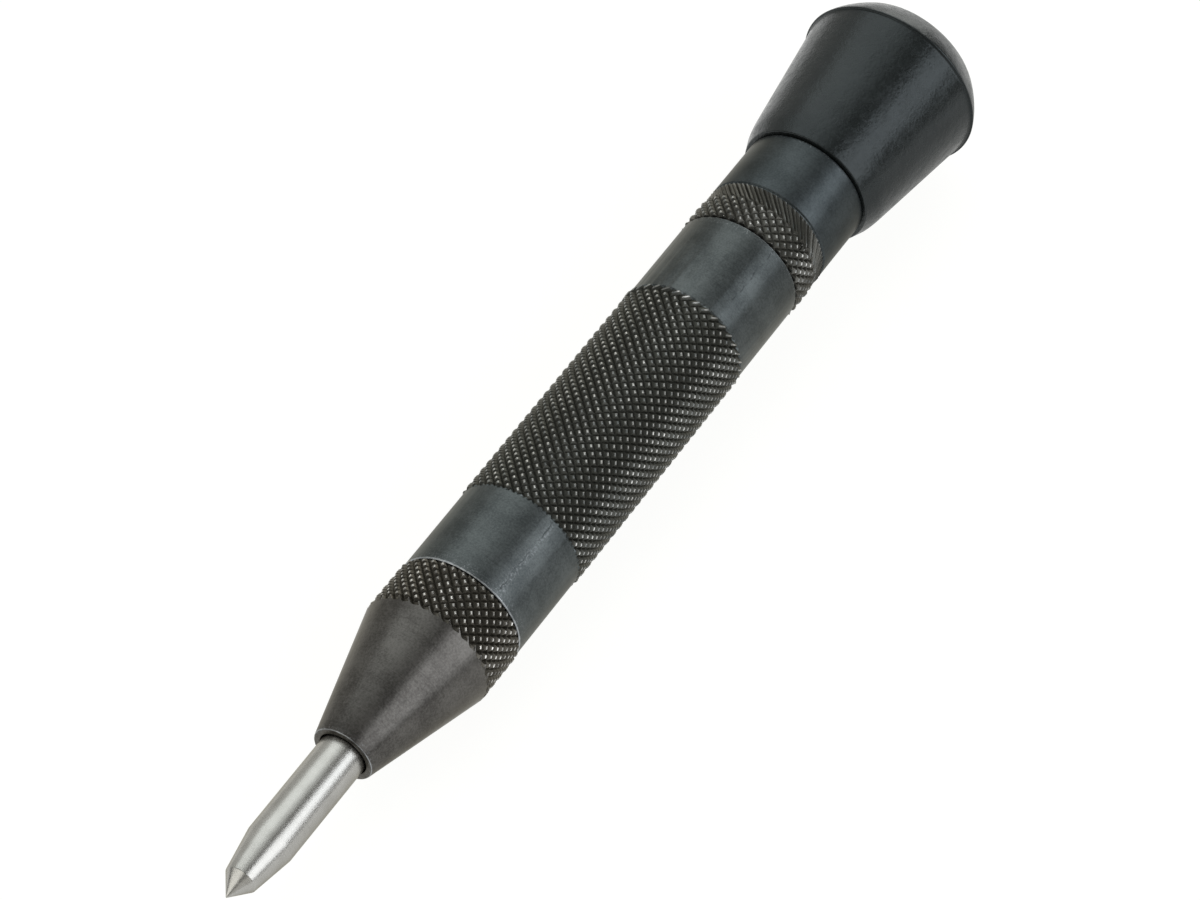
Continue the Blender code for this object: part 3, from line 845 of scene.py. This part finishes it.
def make_end_cap():
    """The rubber cap: a socket for the hub, a soft lip, a straight flank, an overhanging rim and a crown."""
    socket = HUB_RADIUS + RUBBER_PLAY
    ring = HUB_GROOVE_RADIUS + RUBBER_PLAY
    back, front = HUB_GROOVE_END - RUBBER_PLAY, HUB_GROOVE_START + RUBBER_PLAY
    bottom = HUB_END + RUBBER_PLAY
    flare_start = (FLANK_START - 0.9, FLANK_START_RADIUS - 0.24)
    flare_end = (FLANK_START + 1.2, FLANK_START_RADIUS + 0.16)
    undercut = (RIM_PLACE - 0.15, FLANK_END_RADIUS + 0.03)
    rim_front = (RIM_PLACE - RIM_ROUND, RIM_RADIUS - RIM_ROUND)
    rim_back = (RIM_PLACE + RIM_ROUND, RIM_RADIUS - 0.02)
    shoulder = (RIM_PLACE + 1.7, RIM_RADIUS - 0.61)
    crown = (CROWN_START, CROWN_RADIUS)
    slope = (crown[1] - shoulder[1]) / (crown[0] - shoulder[0])
    brow = (APEX, CROWN_RADIUS + slope * (APEX - CROWN_START))
    outline = [(bottom, 0), (bottom, socket), (back, socket), (back, ring), (front, ring), (front, socket),
               (LIP_FRONT, socket)]
    outline += arc((LIP_FRONT + LIP_ROUND, LIP_RADIUS - LIP_ROUND), LIP_ROUND, 180, 100, steps=6)
    outline += bend(flare_start, (FLANK_START, FLANK_START_RADIUS), flare_end, steps=6)
    outline += bend((FLANK_END, FLANK_END_RADIUS), undercut, rim_front, steps=6)
    outline += arc((RIM_PLACE, RIM_RADIUS - RIM_ROUND), RIM_ROUND, 170, 80, steps=4)
    outline += bend(rim_back, shoulder, crown, steps=14)
    outline += bend(crown, brow, (APEX, 0), steps=14)[1:]
    cap = turn("rubber_palm_cap", outline)
    smooth(cap, 30)
    return cap


def make_outside():
    """The five pieces that are seen, modelled again in place of their solids."""
    nose_oxide = oxide_finish(
        "nose_oxide_brown_black", dark=(0.056, 0.053, 0.05), pale=(0.132, 0.127, 0.12),
        flank=(0.064, 0.059, 0.049), band=(NOSE_KNURL_START, NOSE_BAND_END), tops=nose_tops, roughness=0.25,
        edges=[(NOSE_FRONT, MOUTH_RADIUS, 0.1)],
        glints=lambda f: f.ramp(f.along, *NOSE_GLINTS_RISE) * f.ramp(f.along, *NOSE_GLINTS_FALL, 1.25, 0.9))
    barrel_oxide = oxide_finish(
        "barrel_oxide_blue_black", dark=(0.046, 0.053, 0.055), pale=(0.1, 0.112, 0.114),
        flank=(0.056, 0.056, 0.049), band=(GRIP_START, GRIP_END), tops=grip_tops, roughness=0.31,
        edges=[(BARREL_FRONT + 0.05, BARREL_RADIUS, 0.2), (BARREL_BACK - 0.05, BARREL_RADIUS, 0.14)],
        glints=lambda f: 0.75, scrapes=[(-0.67, GRIP_START)])
    cap_oxide = oxide_finish(
        "cap_oxide_blue_black", dark=(0.032, 0.039, 0.042), pale=(0.066, 0.077, 0.082),
        flank=(0.085, 0.083, 0.074), band=(CAP_FRONT, CAP_BAND_END), tops=cap_tops, roughness=0.3,
        edges=[(NECK_END, BARREL_RADIUS, 0.08)],
        glints=lambda f: 0.35 + 0.4 * f.ramp(f.along, *CAP_GLINTS_FALL, 1.0, 0.0))
    dress(make_point(), point_finish(), "plunger_body", "punch_point")
    dress(make_nose(), nose_oxide, "barrel_body", "nose_cone")
    dress(make_barrel(), barrel_oxide, "barrel_body", "barrel")
    dress(make_cap(), cap_oxide, "cap_body", "adjusting_cap")
    dress(make_end_cap(), rubber_finish(), "cap_body", "end_cap")


def make_springs():
    """The three springs, each set on the body that carries it."""
    main_wire = wire_finish("main_spring_wire", (0.22, 0.21, 0.2), (0.42, 0.41, 0.4))
    fine_wire = wire_finish("fine_spring_wire", (0.3, 0.3, 0.31), (0.5, 0.5, 0.51))
    main = wind_spring("main_coil", 80.3, 129.9, radius=4.2, wire=1.6, pitch=3.2, squared=1)
    dress(main, main_wire, "barrel_body", "main_spring")
    spot(129.9, 0)
    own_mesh(main)
    back = wind_spring("return_coil", 38.8, 53.7, radius=3.5, wire=0.7, pitch=2.1, squared=1)
    dress(back, fine_wire, "plunger_body", "return_spring")
    trip = wind_spring("trip_coil", -3.9, -1.9, radius=0.7, wire=0.3, pitch=0.75, squared=0, upright_at=60.0)
    dress(trip, fine_wire, "hammer_body", "trip_spring")
    spot(60.0, -3.9)
    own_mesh(trip)


def dress_inside():
    """The inner pieces keep their solids and get a finish."""
    inner = inner_finish("inner_turned_steel", (0.34, 0.34, 0.35), (0.5, 0.5, 0.5), ring_scale=7.0)
    struck = inner_finish("hammer_hard_steel", (0.24, 0.235, 0.23), (0.38, 0.37, 0.36), ring_scale=4.0)
    for node in ("plunger", "spring_seat"):
        dress(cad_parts[node], inner)
    for node in ("release_pin", "hammer", "trip_block"):
        dress(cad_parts[node], struck)


# Floor, light and camera, in metres, with the lens and its sensor in millimetres

RIM_REST = Vector((0.0673, 0, -0.00008))
NOSE_REST = Vector((-0.034, 0, 0.00362))
FLOOR_SIZE = 6
# Floor as reflections see it, a painted pool of light: its stretch, its fade and its colours near and far
POOL_SHAPE = (0.45, 1, 1)
POOL_FADE = (0.1, 0.19)
POOL_NEAR = (1, 1, 0.985)
POOL_FAR = (0.28, 0.28, 0.26)
# Painted shade beside the rubber cap and the point, seen only in reflections: place and fade with share
CAP_SHADE = (0.07, -0.026, 0)
CAP_SHADE_FADE = (0.015, 0.045, 0.6, 0.0)
POINT_SHADE = (-0.062, -0.016, 0)
POINT_SHADE_FADE = (0.016, 0.036, 0.24, 0.0)
GLOW = 1.09
GLOW_SHARE = 0.85
CAMERA_PLACE = Vector((-0.3142, -0.1993, 0.4694))
CAMERA_AIM = Vector((0.00045, -0.00096, AXIS_Z + 0.00007))
CAMERA_LENS = 154.65
CAMERA_SENSOR = 36
CAMERA_CLIP = 0.01
LAMP_DISTANCE = 0.6


def make_floor():
    """A white floor under the tool, which rests on its nose band and on the rim of the rubber cap.

    Reflections in the tool show it darker far away, and close beside the rubber cap and the point: a painted
    pool of light and painted shade, seen only by glossy rays, for the light falling off and the tool's
    shadow.
    """
    begin()
    run = RIM_REST.x - NOSE_REST.x
    middle = RIM_REST.lerp(NOSE_REST, RIM_REST.x / run)
    tilt = math.atan2(NOSE_REST.z - RIM_REST.z, run)
    bpy.ops.mesh.primitive_plane_add(size=FLOOR_SIZE, location=middle, rotation=(0, tilt, 0))
    floor = bpy.context.object
    floor.name = "studio_floor"
    finish = Finish("pale_floor", Base_Color=(0.82, 0.82, 0.82, 1), Roughness=1.0, Specular_IOR_Level=0.0)
    camera, glossy, through = (finish.node("ShaderNodeLightPath", out=ray)
                               for ray in ("Is Camera Ray", "Is Glossy Ray", "Is Transmission Ray"))

    def measure(operation, first, second=(0, 0, 0)):
        return finish.node("ShaderNodeVectorMath", {"operation": operation}, {0: first, 1: second}, "Value")

    oval = finish.node("ShaderNodeVectorMath", {"operation": "MULTIPLY"}, {0: finish.coords, 1: POOL_SHAPE})
    dim = finish.ramp(measure("LENGTH", oval), *POOL_FADE)
    by_cap = finish.ramp(measure("DISTANCE", finish.coords, CAP_SHADE), *CAP_SHADE_FADE)
    by_point = finish.ramp(measure("DISTANCE", finish.coords, POINT_SHADE), *POINT_SHADE_FADE)
    dim = finish.most(dim, finish.most(by_cap, by_point))
    # Painted pool of light and painted shade, for glossy rays only
    pool = finish.mix(dim * glossy, POOL_NEAR, POOL_FAR)
    white = finish.node("ShaderNodeEmission", {}, {"Color": pool, "Strength": GLOW})
    seen = finish.most(camera, finish.most(glossy, through))
    lit = Value(finish, finish.shader.outputs[0])
    mixed = finish.node("ShaderNodeMixShader", {}, {0: seen * GLOW_SHARE, 1: lit, 2: white})
    finish.tree.links.new(mixed.socket, finish.tree.nodes["Material Output"].inputs["Surface"])
    floor.data.materials.append(finish.material)


def add_lamp(name, place, aim, size, radiance, tint):
    """A soft lamp at a place, facing an aim, its length as near along the tool as that allows."""
    towards = (place - aim).normalized()
    length = (Vector((1, 0, 0)) - towards * towards.x).normalized()
    lamp = bpy.data.lights.new(name, "AREA")
    lamp.shape = "RECTANGLE"
    lamp.size, lamp.size_y = size
    lamp.energy = radiance * math.pi * lamp.size * lamp.size_y
    lamp.color = tint
    holder = bpy.data.objects.new(name, lamp)
    bpy.context.scene.collection.objects.link(holder)
    holder.location = place
    holder.rotation_euler = Matrix((length, towards.cross(length), towards)).transposed().to_euler()


def add_strip(name, angles, ends, radiance, tint):
    """A lamp along the tool, between two angles round it that count from the side that the camera sees."""
    seen = Vector((0, CAMERA_PLACE.y, CAMERA_PLACE.z - AXIS_Z)).normalized()
    angle = math.radians(sum(angles) / 2)
    away = seen * math.cos(angle) + Vector((1, 0, 0)).cross(seen) * math.sin(angle)
    aim = Vector((sum(ends) / 2, 0, AXIS_Z))
    width = 2 * LAMP_DISTANCE * math.tan(math.radians((angles[1] - angles[0]) / 2))
    add_lamp(name, aim + away * LAMP_DISTANCE, aim, (ends[1] - ends[0], width), radiance, tint)


def make_light():
    """Strips along the tool for its long reflections, and small lamps for its ends, in a dim grey room."""
    world = bpy.data.worlds.new("studio")
    bpy.context.scene.world = world
    world.use_nodes = True
    world.node_tree.nodes["Background"].inputs["Color"].default_value = (0.18, 0.178, 0.166, 1)
    add_strip("back_fill", (-115, -75), (-0.2, 0.9), 0.42, (1.0, 1.0, 0.96))
    add_strip("broad_lamp", (-75, -30), (-0.1, 0.9), 1.35, (0.96, 1.0, 0.99))
    add_strip("broad_edge", (-30, -12), (-0.1, 0.9), 0.7, (0.96, 1.0, 0.99))
    add_strip("strip_lamp", (18, 49), (0.27, 0.85), 2.25, (0.92, 0.96, 1.0))
    add_strip("nose_strip", (10, 58), (-0.25, 0.27), 2.15, (0.95, 0.97, 1.0))
    tip, middle = Vector((TIP_X, 0, AXIS_Z)), Vector((0, 0, AXIS_Z))
    add_lamp("front_fill", Vector((-0.205, 0.08, 0.138)), tip, (0.126, 0.265), 1.4, (1.0, 0.99, 0.94))
    add_lamp("end_fill", Vector((0.55, 0.12, 0.12)), middle, (0.3, 0.3), 1.7, (1.0, 1.0, 0.96))
    add_lamp("side_fill", Vector((-0.45, -0.4, 0.2)), tip, (0.35, 0.35), 0.5, (1.0, 0.98, 0.92))


def make_camera():
    """The camera that was fitted to the photograph."""
    data = bpy.data.cameras.new("photo_camera")
    data.sensor_width = CAMERA_SENSOR
    data.lens = CAMERA_LENS
    data.clip_start = CAMERA_CLIP
    camera = bpy.data.objects.new("photo_camera", data)
    bpy.context.scene.collection.objects.link(camera)
    camera.location = CAMERA_PLACE
    camera.rotation_euler = (CAMERA_AIM - CAMERA_PLACE).to_track_quat("-Z", "Y").to_euler()
    bpy.context.scene.camera = camera


make_outside()
make_springs()
dress_inside()
make_floor()
make_light()
make_camera()
bpy.context.scene.view_settings.view_transform = "Standard"
